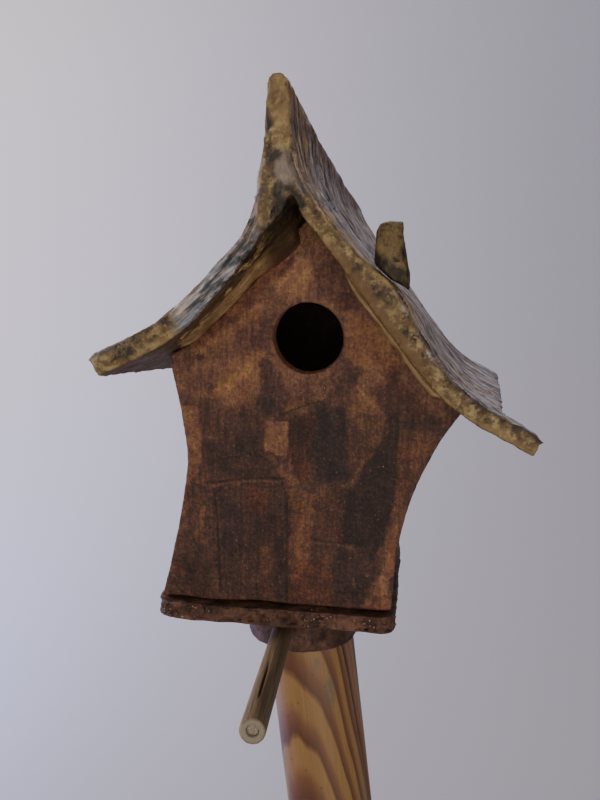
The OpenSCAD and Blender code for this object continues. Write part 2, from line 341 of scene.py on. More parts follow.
# The pressed grain runs down the slopes; the torn ends are pitted and chipped.
waves = lumps(points, 24, 2, 2)
crumbs = lumps(points, 4, 3, 3)
grain = np.abs(lumps(points, (42, 3.6, 42), 1, 2))
checks = np.abs(lumps(points, (45, 5.5, 45), 7, 1))
grooves = rise(0.32 - grain, 0, 0.32) + 0.8 * rise(0.06 - checks, 0, 0.06)
pits = rise(crumbs, 0.1, 0.6)
chips = rise(lumps(points, 9, 8, 2), 0.15, 0.5)
chips *= 1 - rise(from_top, 0, 6)
lift = 0.5 * waves + 0.3 * crumbs - 0.75 * (upper + 0.6 * under) * grooves
lift -= torn * (1.1 * pits + 1.5 * chips)
points += normals * lift[:, None]

# Fingers pushed the peak up, the left slab's edge fuller, and both eave tips
# out and round.
points[:, 2] += 2.2 * rise(height, 226, 244)
swollen = 1.9 * rise(-x, 2, 14) * (1 - rise(height, 205, 222))
swollen *= 1 - rise(from_top, 1, 8)
points[:, 0] -= 0.75 * swollen + 2.2 * rise(-x, 52, 68)
points[:, 2] += 0.65 * swollen
points[:, 0] += 2.0 * rise(x, 84, 100)
tip = rise(np.maximum(x - x.max(), x.min() - x), -4.5, 0) ** 2
rounding = 1.4 * (1 - rise(from_foot, 0, 4)) - 2.4 * (1 - rise(from_top, 0, 4))
points[:, 2] += tip * rounding
move(roof_mesh, points)
roof_form = BVHTree.FromPolygons([tuple(p) for p in points],
                                 [tuple(f.vertices) for f in roof_mesh.polygons])

# The iron and manganese wash on top ran a few millimetres over the torn
# front, most on the left slope and on the right of the spike.
left_side = 1 - rise(x, -14, -6)
steep_left = left_side * rise(x, -50, -42)
right_spike = rise(x, 2, 7) * rise(height, 198, 210)
right_spike *= 1 - rise(height, 226, 236)
run = 0.9 + 5.5 * steep_left + 2.4 * waves + 1.4 * crumbs
run += 7 * right_spike - 5 * rise(height, 214, 224)
wash = upper + torn * (1 - rise(from_top, run, run + 1.0))
clean = torn * (1 - rise(from_foot + 2.5 * waves, 1.0, 3.5))
clean += torn_front * dab(points, -2.6, 236, 6, 16, 4, 0.5)
keep(roof_mesh, wash=np.clip(wash, 0, 1), clean=np.clip(clean, 0, 1), under=under,
     across=np.where(torn > 0.5, from_top, depth))
loose = points + strays(points, 4, 26, 3, 2.0)

# Near-black in the arch between the two slabs: painted shade under the ridge,
# running on as dark wash along the left band's lower edge.
arch = stroke(loose, [(-5, 201), (-3.5, 204), (0.6, 204), (4.5, 201), (7.3, 197)], 2.8, 0.8)
pool = dab(loose, 0.5, 196.5, 6.5, 6.0, 0, 0.5) - dab(loose, 2.7, 199.5, 1.5, 2.2, 20, 0.5)
left_of_arch = stroke(loose, [(-2, 194), (-5, 188.2), (-11.7, 177.5), (-16, 173)], 5.0, 0.7)
further_left = 0.8 * stroke(loose, [(-16, 173), (-26, 165), (-34, 160)], 1.8, 0.8)
for part in (pool, left_of_arch, further_left):
    arch = np.maximum(arch, part)
arch *= rise(-depth, 40, 60) * (1 + 0.6 * crumbs)
# Painted shade: darker olive-brown along the right band's lower edge, for a shaded bevel.
bevel = torn_front * rise(x, 16, 28) * (1 - rise(x, 56, 66))
bevel *= 1 - rise(from_foot + 0.7 * crumbs + 1.2 * waves, 4.4, 5.4)
keep(roof_mesh, soot=np.clip(arch, 0, 1), bevel=bevel)

# Rust streaks down the spike, blue-black wash with painted sheen streaks on the left, and bare
# tan spots.
rust = 0.9 * dab(loose, -3.3, 239.2, 3.4, 3.2, 0, 0.5) - dab(loose, -3.1, 238.6, 1.3, 1.5, 0, 0.6)
rust = np.maximum(rust, 0.8 * stroke(loose, [(1.0, 244), (3.6, 236), (6.5, 228.5)], 1.8, 0.9))
down_spike = stroke(loose, [(7.4, 227), (10.5, 219), (13.6, 212.6), (20, 202)], 3.2, 0.9)
rust = np.maximum(rust, down_spike)
rust = np.clip(rust * (torn_front + upper), 0, 1)
# Painted reflection: silver-blue streaks on the blue-black wash of the steep left slope.
frost = steep_left * (1 - rise(height, 198, 208)) * rise(waves + crumbs, -0.45, -0.2)
tan_left = np.maximum(dab(loose, -16, 186, 3.2, 5.0, -20, 0.3),
                      dab(loose, -43.5, 152.5, 3.4, 2.6, 30, 0.3))
glaze = torn_front * dab(loose, -0.4, 211.6, 4.8, 6.4, 10, 0.75)
over_edge = torn_front * (1 - rise(from_top, 1.2, 3.0))
over_edge *= rise(x, 4, 10) * (1 - rise(x, 50, 60))
bare = (upper + over_edge) * rise(-depth, 48, 64) * rise(height, 138, 165)
worn = upper * rise(crumbs + waves, 0.2, 0.7) * 0.7
keep(roof_mesh, rust=rust, frost=frost * torn_front * (1 - tan_left), glaze=glaze,
     bare=np.clip(bare, 0, 1) + worn)

# Dark mottles on the torn front: x, z, half width, half height, turn, strength.
SOIL = (
    (-69, 133.5, 2.0, 3.2, -60, 0.7), (-64, 138.5, 3.5, 1.2, -28, 0.6),
    (-56, 140, 2.5, 1.0, -25, 0.5), (-60, 134.5, 2.2, 1.0, -25, 0.4),
    (30, 172, 2.4, 2.0, 40, 0.7), (38, 163, 1.6, 2.4, 30, 0.5), (24, 180, 1.8, 1.6, 20, 0.5),
    (52, 146, 1.2, 2.6, 40, 0.4), (-7.7, 230.3, 2.4, 5.0, 4, 0.9),
    (4.9, 228.8, 3.2, 3.4, 20, 0.85), (-6.7, 222.3, 0.9, 6.0, 4, 0.8),
    (-4.3, 216.2, 2.6, 2.2, 10, 0.95), (-6.3, 212.5, 0.9, 4.5, 2, 0.7),
    (2.4, 214, 1.2, 1.6, 0, 0.7), (3.8, 222, 0.7, 5.0, 14, 0.6), (7.0, 214, 0.9, 6.0, 22, 0.6),
    (9.5, 203, 1.2, 4.0, 30, 0.7), (-9.5, 203, 1.0, 5.0, -15, 0.6),
    (14.5, 199, 1.6, 3.4, 32, 0.7), (21, 189, 2.0, 2.2, 30, 0.8))
dark_rim = torn_front * (1 - rise(from_top + 0.8 * crumbs, 1.8, 3.0))
dark_rim *= np.maximum(rise(x, 48, 60),
                       0.8 * rise(-x, 44, 50) * rise(crumbs, -0.6, 0.0))
soil = sum(much * dab(loose, at_x, at_z, wide, high, turn, 0.4)
           for at_x, at_z, wide, high, turn, much in SOIL)
soil = (torn_front + 0.6 * upper) * soil + 0.85 * dark_rim
keep(roof_mesh, soil=np.clip(soil, 0, 1))

# Tan stoneware, matt where it is torn. On top the wash reads as cold grey
# streaks with a low shine, in grooves about 2.6 mm apart, worn to ochre in front.
roof_clay, tree, shader, mm, painted = stoneware(
    "roof_stoneware", "#7f704a", "#584a2a", "#978960", "#261a12", 0.49)
fringe = add(tree, "ShaderNodeTexNoise",
             {"Vector": mm, "Scale": 0.33, "Detail": 4, "Roughness": 0.6})
painted = flecked(tree, painted, fringe, 0.44, 0.58, 0.8, "#4d351f")
across = add(tree, "ShaderNodeAttribute", attribute_name="across")
split = add(tree, "ShaderNodeSeparateXYZ", {"Vector": mm})
pitch = [add(tree, "ShaderNodeMath", {0: source, 1: scale}, operation="MULTIPLY")
         for source, scale in ((split.outputs["X"], 0.04), (across, 0.38),
                               (split.outputs["Z"], 0.04))]
along = add(tree, "ShaderNodeCombineXYZ", dict(enumerate(pitch)))
streaks = add(tree, "ShaderNodeTexNoise",
              {"Vector": along, "Scale": 1.0, "Detail": 7, "Roughness": 0.72, "Distortion": 0.5})
grey, steel, earth = (
    add(tree, "ShaderNodeValToRGB", {"Fac": streaks}, stops=stops)
    for stops in (
        ((0.38, "#1f1917"), (0.68, "#bcb3ae"), (0.45, "#514640"), (0.50, "#786c67"),
         (0.57, "#968c88")),
        ((0.40, "#14181d"), (0.66, "#a4a9b2"), (0.48, "#2b323a"), (0.54, "#5c636d"),
         (0.60, "#868c96")),
        ((0.36, "#21180f"), (0.72, "#b0a07c"), (0.44, "#543b22"), (0.50, "#7c6138"),
         (0.60, "#948560"))))
# The arch's near-black and the bevel's are painted shade; the blue sheen is a painted reflection.
painted = over(
    tree, painted, ("clean", "#87714a", 0.5), ("under", "#4a3624", 0.75), ("wash", grey, 1.0),
    ("frost", steel, 0.9), ("bare", earth, 0.8), ("glaze", grey, 0.55),
    ("glaze", "#6a655f", 0.55), ("bevel", "#5a4226", 0.85), ("soil", "#1b1614", 0.95),
    ("rust", "#4a2d16", 0.75), ("soot", "#120e0b", 0.95))
washed = add(tree, "ShaderNodeAttribute", attribute_name="wash")
gloss = add(tree, "ShaderNodeMapRange", {"Value": washed, "To Min": 0.62, "To Max": 0.38})
feed(tree, shader, {"Base Color": painted, "Roughness": gloss, "Specular IOR Level": 0.4})
place("roof", roof_mesh, roof_clay, "roof_stoneware", "left_roof", "right_roof")

# ---- Walls
# Four slabs of grogged stoneware, cut freehand and butted at the corners,
# then brushed with red iron and manganese stain that was wiped back.
WALL_FACE = 52  # from the middle to the outer face of the front and back walls
HOLE_EDGE = 17  # just outside the bore of the entrance
ROOM_MIDDLE = (8, 0, 0)


def patch(points, corners, soft):
    """A painted shape on the front: 1 inside its (x, z) corners, 0 outside, soft in mm."""
    x, z = points[:, 0], points[:, 2]
    inside, away = np.zeros(len(points), bool), np.full(len(points), 1e9)
    for (ax, az), (bx, bz) in zip(corners, corners[1:] + corners[:1]):
        along = (x - ax) * (bx - ax) + (z - az) * (bz - az)
        along = np.clip(along / ((bx - ax) ** 2 + (bz - az) ** 2), 0, 1)
        off_x, off_z = x - ax - along * (bx - ax), z - az - along * (bz - az)
        away = np.minimum(away, np.hypot(off_x, off_z))
        if az != bz:
            inside ^= ((az > z) != (bz > z)) & (x < (bx - ax) * (z - az) / (bz - az) + ax)
    return rise(np.where(inside, away, -away), -soft, soft)


# The front's brushwork: how much was wiped off (above 0) or left on (below
# 0), how much iron, smoke and ochre it holds, its edge in mm, its corners.
BRUSHED = (
    (0.20, 0.1, 0.0, 0.4, 2.0, ((-7, 158), (-8, 164), (-3, 169), (1, 176), (7, 175), (9, 167),
     (7, 160), (3, 157))),
    (0.18, 0.2, 0.0, 0.6, 1.2, ((-46, 128), (-46, 132), (-30, 143), (-17, 154), (-13, 156),
     (-14, 151), (-22, 144), (-30, 138), (-40, 130))),
    (0.14, 0.2, 0.0, 0.4, 2.5, ((-38, 112), (-30, 126), (-14, 135), (-15, 124), (-17, 108),
     (-30, 106))),
    (0.13, 0.3, 0.0, 0.5, 2.5, ((24, 136), (24, 150), (33, 151), (44, 140), (50, 128),
     (36, 126), (26, 128))),
    (0.12, 0.0, 0.0, 0.5, 0.9, ((-45, 110), (-38, 113), (-24, 124), (-14, 134), (-13, 131),
     (-22, 119), (-36, 109))),
    (-0.15, 0.1, 0.6, 0.0, 1.8, ((-15, 129), (-9, 128), (-7, 120), (-1, 112), (-5, 104),
     (-12, 103), (-17, 108), (-14, 118))),
    (-0.14, 0.2, 0.5, 0.0, 1.8, ((22, 133), (26, 130), (31, 125), (30, 117), (24, 112),
     (15, 107), (13, 110), (20, 116), (23, 123))),
    (-0.09, 0.4, 0.5, 0.0, 2.2, ((11, 171), (16, 177), (21, 174), (27, 162), (29, 153),
     (21, 151), (15, 158), (10, 162))),
    (0.04, 0.0, 0.7, 0.0, 1.5, ((6, 157), (9, 164), (13, 162), (15, 158), (12, 155))),
    (-0.04, 0.3, 0.3, 0.0, 2.6, ((-27, 149), (-14, 152), (-11, 142), (-15, 131), (-23, 134),
     (-28, 142))),
    (-0.24, 0.2, 0.8, 0.0, 0.8, ((-46.5, 128.5), (-44, 131.5), (-41.5, 129.5), (-43, 127))),
    (-0.16, 0.2, 0.6, 0.0, 0.7, ((-40.5, 132.5), (-39, 134.5), (-37.5, 133), (-39, 131.5))),
    (-0.14, 0.7, 0.1, 0.0, 1.2, ((-9, 167), (-4, 172), (-1, 177), (0, 173), (-4, 167),
     (-7, 164))),
    (-0.08, 0.6, 0.2, 0.0, 1.6, ((19, 160), (24, 161), (27, 156), (24, 151), (20, 153))),
    (-0.14, 0.8, 0.0, 0.0, 1.2, ((41, 124), (46, 131), (50, 128), (48, 121), (43, 121))),
    (-0.12, 0.6, 0.2, 0.0, 2.4, ((34, 117), (48, 121), (58, 113), (68, 103), (60, 98),
     (50, 100), (44, 107))),
    (-0.02, 1.0, 0.0, 0.0, 1.4, ((-54, 132), (-40, 142), (-28, 153), (-18, 164), (-9, 174),
     (-4, 180), (-3, 174), (-12, 163), (-17, 156), (-28, 146), (-44, 134))),
    (-0.04, 0.0, 0.0, 1.0, 3.5, ((-16, 172), (-6, 182), (2, 192), (9, 184), (3, 181),
     (-5, 177))),
    (0.08, 0.0, 0.0, 0.5, 1.1, ((26, 104), (27, 112), (33, 116), (40, 110), (44, 103), (44, 96),
     (40, 89), (33, 92), (27, 93))),
    (-0.03, 0.5, 0.0, 0.0, 1.2, ((28, 92), (38, 88), (34, 82), (29, 73), (27.5, 82))),
    (0.10, 0.1, 0.0, 0.7, 1.5, ((-7, 103), (-4, 109), (4, 110), (2, 106))),
    (-0.22, 0.2, 0.5, 0.0, 1.0, ((44, 103), (47, 106), (50, 101), (49, 88), (49, 72),
     (47.5, 60), (46, 50), (42, 40), (39, 34), (35, 41), (26, 43), (25.5, 62), (28, 68),
     (32, 75), (37, 85), (41, 91))),
    (-0.18, 0.0, 0.9, 0.0, 1.0, ((11, 108), (25, 107), (26, 92), (26.5, 74), (20, 71.5),
     (11, 72), (10.5, 90))),
    (-0.15, 1.0, 0.0, 0.2, 1.0, ((-1.5, 100.5), (4, 103), (11, 106), (10.5, 86), (7, 72),
     (4.5, 70.5), (0.5, 78), (-1, 86))),
    (0.16, 0.0, 0.0, 0.6, 0.9, ((4.5, 88), (6.5, 89), (8.3, 80), (6.5, 72), (5, 73))),
    (0.34, 0.0, 0.0, 0.5, 0.5, ((-12.5, 99.8), (-1.6, 100), (-1.3, 88), (-2.5, 84),
     (-6.5, 83.3), (-8.5, 84.6), (-12.9, 86.4))),
    (0.20, 0.2, 0.0, 0.0, 0.7, ((-6.8, 75.5), (-6, 78.6), (-2, 80.5), (-1.2, 83.5), (0.3, 79),
     (4.2, 70.6), (1.5, 69), (-1.5, 70.5), (-4, 72))),
    (-0.11, 0.0, 0.2, 0.2, 2.0, ((-25, 104), (-14, 103), (-13.5, 86), (-8, 80), (-9, 73),
     (-40, 73), (-41, 88), (-30, 84))),
    (0.28, 0.2, 0.0, 0.2, 1.2, ((-54, 106), (-45, 106), (-43.5, 94), (-43, 80), (-46, 70),
     (-52, 66), (-52, 80))),
    (-0.05, 0.1, 0.2, 0.0, 1.2, ((-37, 68), (-4.5, 70.5), (-1.8, 60), (-1.3, 11), (-33, 11),
     (-35, 48))),
    (0.10, 0.9, 0.0, 0.2, 2.2, ((-22, 68), (-9, 68), (-10, 56), (-18, 54), (-24, 58))),
    (0.00, 0.0, 0.8, 0.0, 2.5, ((-34, 62), (-24, 60), (-22, 46), (-26, 36), (-33, 34))),
    (-0.06, 0.6, 0.3, 0.0, 2.0, ((-18, 54), (-7, 54), (-8, 40), (-17, 38))),
    (0.14, 0.4, 0.0, 0.1, 1.2, ((-15, 37), (-9, 41), (-8, 30), (-9, 12), (-14, 12), (-13, 26))),
    (-0.08, 0.0, 0.3, 0.1, 1.0, ((-7.5, 42), (-2, 44), (-1.6, 11), (-8, 11))),
    (0.24, 0.3, 0.0, 0.2, 0.8, ((-42.5, 57), (-40.5, 57.5), (-42, 48), (-45, 40.5), (-47, 40.5),
     (-44.5, 49))),
    (0.14, 0.2, 0.0, 0.4, 1.0, ((-0.5, 70), (4, 68), (11.5, 66), (10.5, 50), (10.5, 40),
     (8, 30), (5, 24), (0.5, 22), (-0.8, 45))),
    (0.08, 0.0, 0.0, 0.4, 1.5, ((1, 62), (6, 63), (8, 48), (6, 32), (2, 30))),
    (0.05, 0.9, 0.0, 0.0, 1.6, ((0, 26), (8, 32), (16, 36), (20, 24), (21, 10), (0, 10))),
    (0.00, 0.4, 0.1, 0.0, 1.5, ((11.5, 66), (26, 64), (26, 44), (11, 44))),
    (-0.10, 0.1, 0.6, 0.0, 1.6, ((21, 40), (38, 40), (40, 30), (36, 12), (22, 12), (21, 24))),
    (0.30, 0.1, 0.0, 0.4, 0.9, ((41, 26.5), (44, 28), (47.5, 27), (47, 19), (43, 17.5),
     (40.5, 19))),
    (0.17, 0.5, 0.0, 0.1, 1.1, ((36, 9.5), (37, 14), (40.5, 19), (47, 19), (49.5, 9))),
    (0.17, 0.5, 0.0, 0.2, 1.1, ((47.5, 62), (50.5, 64), (51, 46), (50, 28), (47, 27), (44, 40),
     (46.5, 50))),
    (0.08, 0.5, 0.0, 0.4, 1.4, ((50, 88), (52, 96), (60, 97), (66, 93), (58, 80), (53, 66),
     (50, 62), (49.5, 78))),
    (-0.09, 0.0, 0.0, 0.6, 2.2, ((-57, 30), (-47, 34), (-38, 28), (-37, 10), (-60, 10))),
    (0.12, 0.0, 0.0, 0.6, 1.0, ((-54, 26), (-51, 27), (-50, 20), (-53, 20))))
# Lines cut into the wet clay: corners and width in mm.
SCORED = (
    ([(-41, 68.2), (-19.7, 71.6), (-4, 72.3)], 1.0),
    ([(-37.2, 65.1), (-35.6, 51.5), (-33.9, 13.9)], 1.3),
    ([(-4.6, 70.3), (-1.9, 62.0), (-1.2, 9.3)], 1.2),
    ([(11.2, 43.0), (29.2, 42.6)], 0.7),
    ([(-6, 102.5), (0, 105.5), (8, 108.8), (14, 110)], 0.8))
# Lines where the stain was scraped off: corners, width in mm, how much.
SCRAPED = (
    ([(-40.6, 66.7), (-19.7, 70.2), (-5.7, 71.0)], 1.3, 0.14),
    ([(12, 41.6), (30, 41.2)], 1.0, 0.10),
    ([(29, 119), (36, 111), (44.4, 102), (44.4, 96)], 1.2, 0.16),
    ([(40, 89), (34, 83), (29, 73)], 1.3, 0.18),
    ([(-35.6, 62), (-34.2, 50), (-32.6, 16)], 1.0, 0.10))


def paint_front(mesh, points):
    """Stain, iron, smoke, ochre and scored lines on the front gable, and painted light and shade.
    """
    wobble = strays(points, (6, 6, 9), 31, 2, 1.2)
    ragged = strays(points, (1.8, 1.8, 2.6), 61, 2, 1.1)
    x, y, z = points.T
    bins = np.arange(8, 190, 2.0)
    sides = [(z >= b) & (z < b + 2) for b in bins]
    left = np.interp(z, bins + 1, [x[s].min() if s.any() else 0 for s in sides])
    right = np.interp(z, bins + 1, [x[s].max() if s.any() else 0 for s in sides])
    pale = 0.33 + 0.20 * rise(z + wobble[:, 1] * 2, 96, 118)
    # Painted light: paler towards the apex, to offset the roof's shade on the upper wall.
    pale += 0.08 * rise(z, 145, 170)
    stains = np.zeros((3, len(points)))
    for much, iron, smoke, ochre, soft, corners in BRUSHED:
        loosened = 0.25 if soft <= 0.5 else 0.6 if soft < 1 else 1.0
        shape = patch(points + loosened * (wobble + ragged), corners, 0.7 * soft)
        pale += much * shape
        stains += np.array([iron, smoke, ochre])[:, None] * shape
    # Painted highlight along the lower left edge, and a paler strip along the lower right edge.
    low = 1 - rise(z, 60, 80)
    pale += 0.16 * (1 - rise(x - left, 1.5, 4)) * low
    pale += 0.10 * (1 - rise(right - x + wobble[:, 0], 3, 6)) * low
    for corners, width, much in SCRAPED:
        pale += much * stroke(points + 0.3 * wobble, corners, width)
    # Painted light: the entrance's bore is paler, to offset the shade inside it.
    near_hole = np.hypot(x - ENTRANCE[0], z - ENTRANCE[2]) < HOLE_EDGE
    bore = near_hole * rise(y, 0.4 - WALL_FACE, 1.4 - WALL_FACE)
    keep(mesh, pale=pale + 0.35 * bore)
    keep(mesh, **dict(zip(("iron", "smoke", "ochre"), np.clip(stains, 0, 1))))
    scored = sum(stroke(points + 0.2 * wobble, corners, width) for corners, width in SCORED)
    # Painted shade: the wall's inner face is drawn near-black, for the shade inside the house.
    inside = rise(y, 7 - WALL_FACE, 9 - WALL_FACE)
    keep(mesh, line=np.clip(scored * (0.75 + 0.3 * wobble[:, 2]) + inside, 0, 1))
    specks = 0.008 + 0.6 * dab(points, 40, 131, 2.5, 2.5, 0, 0.5)
    for spot in ((5, 115.5, 3.5, 2.6, 20), (14, 115, 2.4, 3.4, 0), (-14.3, 154.5, 2, 2.5, 0)):
        specks += dab(points, *spot, 0.5)
    keep(mesh, grog=np.clip(specks, 0, 1) * rise(-y, WALL_FACE - 1, WALL_FACE - 0.2))
    return scored


def paint_other(mesh, points, inward, seed):
    """The other walls, stained in the same way by broad brush strokes, with painted shade inside.
    """
    z = points[:, 2]
    patches = lumps(points, (15, 15, 38), seed, 4)
    dark = rise(patches, -0.08, 0.42)
    bright = rise(-patches, 0.02, 0.35)
    red = rise(lumps(points, (12, 12, 24), seed + 1, 3), 0.0, 0.25)
    sooty = rise(lumps(points, (12, 12, 24), seed + 2, 2), -0.2, 0.1)
    depth_in = np.minimum(44 - np.abs(points[:, 1]), 5)
    outside = rise(-inward, 0.2, 0.6)
    # Painted shade: the inward faces take the dark line layer, for the shade inside the house.
    keep(mesh, pale=0.35 + 0.14 * rise(z, 88, 118) + 0.14 * bright - 0.16 * dark,
         iron=0.9 * red, smoke=0.7 * dark * sooty, ochre=0.5 * bright,
         line=rise(inward, 0.3, 0.8) * rise(depth_in, -3, 0),
         grog=outside * np.clip(lumps(points, 20, seed + 3, 2), 0.01, 0.25))


# Unglazed stoneware under brushed stain, dull with a faint sheen: nearly black
# where stain was left, bare tan where it was wiped.
wall_clay, tree, shader, mm = new_material("stained_stoneware")
brush = add(tree, "ShaderNodeMapping", {"Vector": mm, "Scale": (0.8, 0.8, 0.06)})
wiped, cloudy, fine, apart, specks, grit = (
    add(tree, "ShaderNodeTexNoise",
        {"Vector": spot, "Scale": scale, "Detail": detail, "Roughness": rough})
    for spot, scale, detail, rough in (
        (brush, 1.0, 7, 0.6),  # brush lines 1.2 mm apart, drawn down the wall
        (mm, 0.14, 8, 0.7),  # clouds of stain, 7 mm wide
        (mm, 0.7, 5, 0.75),  # the stain's own grain, 1.4 mm
        (mm, 0.2, 7, 0.7),  # where iron and manganese settled apart, 5 mm
        (mm, 0.5, 4, 0.65),  # iron specks and bare crumbs, 2 mm at most
        (mm, 0.55, 5, 0.65)))  # grit in the clay, 1.8 mm
# The slab was rolled out on canvas, whose threads are about 1.3 mm apart.
weft, warp = (
    add(tree, "ShaderNodeTexWave",
        {"Vector": mm, "Scale": 0.12, "Distortion": 1.6, "Detail": 2, "Detail Scale": 0.5},
        bands_direction=way)
    for way in ("Z", "X"))
level = add(tree, "ShaderNodeAttribute", attribute_name="pale")
for source, strength in ((cloudy, 0.85), (fine, 1.2), (wiped, 0.55), (weft, 0.008),
                         (warp, 0.008)):
    centred = add(tree, "ShaderNodeMath", {0: source, 1: strength, 2: -0.5 * strength},
                  operation="MULTIPLY_ADD")
    level = add(tree, "ShaderNodeMath", {0: level, 1: centred}, operation="ADD")
painted = add(tree, "ShaderNodeValToRGB", {"Fac": level},
              stops=((0.0, "#1b120f"), (1.0, "#92755b"), (0.18, "#2e1f1a"), (0.38, "#442e25"),
                     (0.55, "#5c4032"), (0.72, "#70533e"), (0.88, "#80644b")))
# Where iron and manganese settled apart, the brown turns more red, more purple
# or more yellow.
tint = add(tree, "ShaderNodeValToRGB", {"Fac": apart},
           stops=((0.34, "#ead9ee"), (0.66, "#fbffe0"), (0.45, "#fbeaea"), (0.55, "#fff8ea")))
painted = add(tree, "ShaderNodeMix", {0: 1.0, 6: painted, 7: tint},
              data_type="RGBA", blend_type="MULTIPLY").outputs[2]
painted = over(tree, painted, ("iron", "#ffe2d2", 1.0), ("smoke", "#d8dcff", 1.0),
               ("ochre", "#fffce0", 1.0), blend="MULTIPLY")
# Iron specks bled out of the clay, and crumbs of bare clay caught no stain.
painted = flecked(tree, painted, specks, 0.57, 0.64, 0.6, "#3a1f17")
painted = flecked(tree, painted, specks, 0.40, 0.34, 0.2, "#8d7157")
# The line layer is the scored lines' stain, and painted shade on the walls' inner faces.
painted = over(tree, painted, ("line", "#120c0a", 0.8))
finish(tree, shader, painted, 0.5, 0.3, grit, 0.9, 0.0011)

skins = {}
for side in ("front", "back", "left", "right"):
    mesh = skin([side + "_wall"], cell=0.68 if side == "front" else 1.0, rounds=2)
    points, normals = places(mesh)
    lift = 0.4 * lumps(points, 26, 5, 2) + 0.12 * lumps(points, 3, 6, 2)
    if side == "front":
        scored = paint_front(mesh, points)
        lift -= 0.45 * scored * rise(-normals[:, 1], 0.5, 0.9)
        points = points + normals * lift[:, None]
        # The lower edge was cut a little short and leaves a dark gap over the slab.
        short = 1 - rise(points[:, 2], 9, 13)
        short *= rise(-points[:, 1], WALL_FACE - 6, WALL_FACE - 1)
        points[:, 2] += 1.8 * short * (0.8 + 0.5 * lumps(points, 14, 13, 2))
    else:
        to_middle = (np.array(ROOM_MIDDLE) - points) * (1, 1, 0)
        inward = (normals * to_middle).sum(1) / np.linalg.norm(to_middle, axis=1)
        paint_other(mesh, points, inward, 40 + 7 * len(skins))
        points = points + normals * lift[:, None]
    move(mesh, points)
    skins[side] = mesh.copy()
    place(side + "_wall_slab", mesh, wall_clay, "stained_stoneware", side + "_wall")

# ---- Coils of clay under the eaves
# Beads of soft clay, rolled out by hand, laid in the corner between the gable
# and the roof, and smeared outwards along the roof's underside with a thumb.


def nodes_of(name, numbers):
    """A Geometry Nodes tree that is given a mesh and named numbers, with its Group Input."""
    tree = bpy.data.node_groups.new(name, "GeometryNodeTree")
    for way in ("INPUT", "OUTPUT"):
        tree.interface.new_socket("Geometry", in_out=way, socket_type="NodeSocketGeometry")
    for label, value in numbers.items():
        kind = "NodeSocketInt" if isinstance(value, int) else "NodeSocketFloat"
        tree.interface.new_socket(label, in_out="INPUT", socket_type=kind)
    return tree, tree.nodes.new("NodeGroupInput")


def dress(tree, geometry, material):
    """Ends a Geometry Nodes tree: its geometry made real, in a material."""
    whole = add(tree, "GeometryNodeRealizeInstances", {"Geometry": geometry})
    clad = add(tree, "GeometryNodeSetMaterial", {"Geometry": whole, "Material": material})
    feed(tree, tree.nodes.new("NodeGroupOutput"), {0: clad})


def grow(tree, base, numbers):
    """Runs a Geometry Nodes tree on a base mesh and returns the result as a plain mesh."""
    seed_object = stand("seed", base)
    modifier = seed_object.modifiers.new("grow", "NODES")
    modifier.node_group = tree
    for item in tree.interface.items_tree:
        if item.item_type == "SOCKET" and item.in_out == "INPUT" and item.name in numbers:
            modifier[item.identifier] = numbers[item.name]
    depsgraph = bpy.context.evaluated_depsgraph_get()
    result = bpy.data.meshes.new_from_object(seed_object.evaluated_get(depsgraph))
    seed_object.modifiers.remove(modifier)
    bpy.data.objects.remove(seed_object)
    return result


def house_points(node):
    """A CAD node's points, in house millimetres."""
    matrix = HOUSE.inverted()
    return np.array([matrix @ v.co for v in frame["nodes"][node].data.vertices])


def middle_line(node):
    """The middle of a bead, from the points furthest out along its rings."""
    points = house_points(node)
    outer = points[points[:, 1] > points[:, 1].max() - 0.05]
    outer = np.unique(outer.round(2), axis=0)
    outer = outer[np.argsort(outer[:, 0])]
    outer[:, 1] = (points[:, 1].max() + points[:, 1].min()) / 2
    return outer


# Clay smoothed wet, so it shines a little more than the slabs. The torn edge
# under the roof is a paler, crumbly tan, mottled over about 2.5 mm. Its tones are
# painted lighter than the clay's own, to offset the shade under the eaves.
coil_clay, tree, shader, mm, painted = stoneware(
    "thumbed_coil", "#8a7150", "#6f5939", "#a08660", "#54401f", 0.60)
torn_edge = add(tree, "ShaderNodeTexNoise",
                {"Vector": mm, "Scale": 0.4, "Detail": 5, "Roughness": 0.7})
crumbly = add(tree, "ShaderNodeValToRGB", {"Fac": torn_edge},
              stops=((0.36, "#46341f"), (0.66, "#c9b27c"), (0.45, "#7d6440"), (0.54, "#a48c5c")))
# The lip's light is a painted highlight; the near-black by the apex and the crease is painted
# shade.
painted = over(tree, painted, ("rim", crumbly, 1.0), ("lip", "#97815a", 0.7),
               ("joined", "#6e4a33", 0.85), ("soot", "#17110d", 0.92))
feed(tree, shader, {"Base Color": painted, "Roughness": 0.5})

numbers = {"Bead radius": 3.4, "Step": 0.9, "Thumb marks": 0.3, "Seed": 4}
bead, given = nodes_of("thumbed bead", numbers)
path = add(bead, "GeometryNodeMeshToCurve", {"Mesh": given.outputs["Geometry"]})
even = add(bead, "GeometryNodeResampleCurve",
           {"Curve": path, "Length": given.outputs["Step"]}, mode="LENGTH")
circle = add(bead, "GeometryNodeCurvePrimitiveCircle",
             {"Resolution": 56, "Radius": given.outputs["Bead radius"]})
rolled = add(bead, "GeometryNodeCurveToMesh",
             {"Curve": even, "Profile Curve": circle, "Fill Caps": True})
spot = add(bead, "GeometryNodeInputPosition")
press = add(bead, "ShaderNodeTexNoise",
            {"Vector": spot, "W": given.outputs["Seed"], "Scale": 0.09, "Detail": 3},
            noise_dimensions="4D")
centred = add(bead, "ShaderNodeVectorMath", {0: press.outputs["Color"], 1: (0.5, 0.5, 0.5)},
              operation="SUBTRACT")
deep = add(bead, "ShaderNodeMath", {0: given.outputs["Thumb marks"], 1: 3.0},
           operation="MULTIPLY")
pushed = add(bead, "ShaderNodeVectorMath", {0: centred, "Scale": deep}, operation="SCALE")
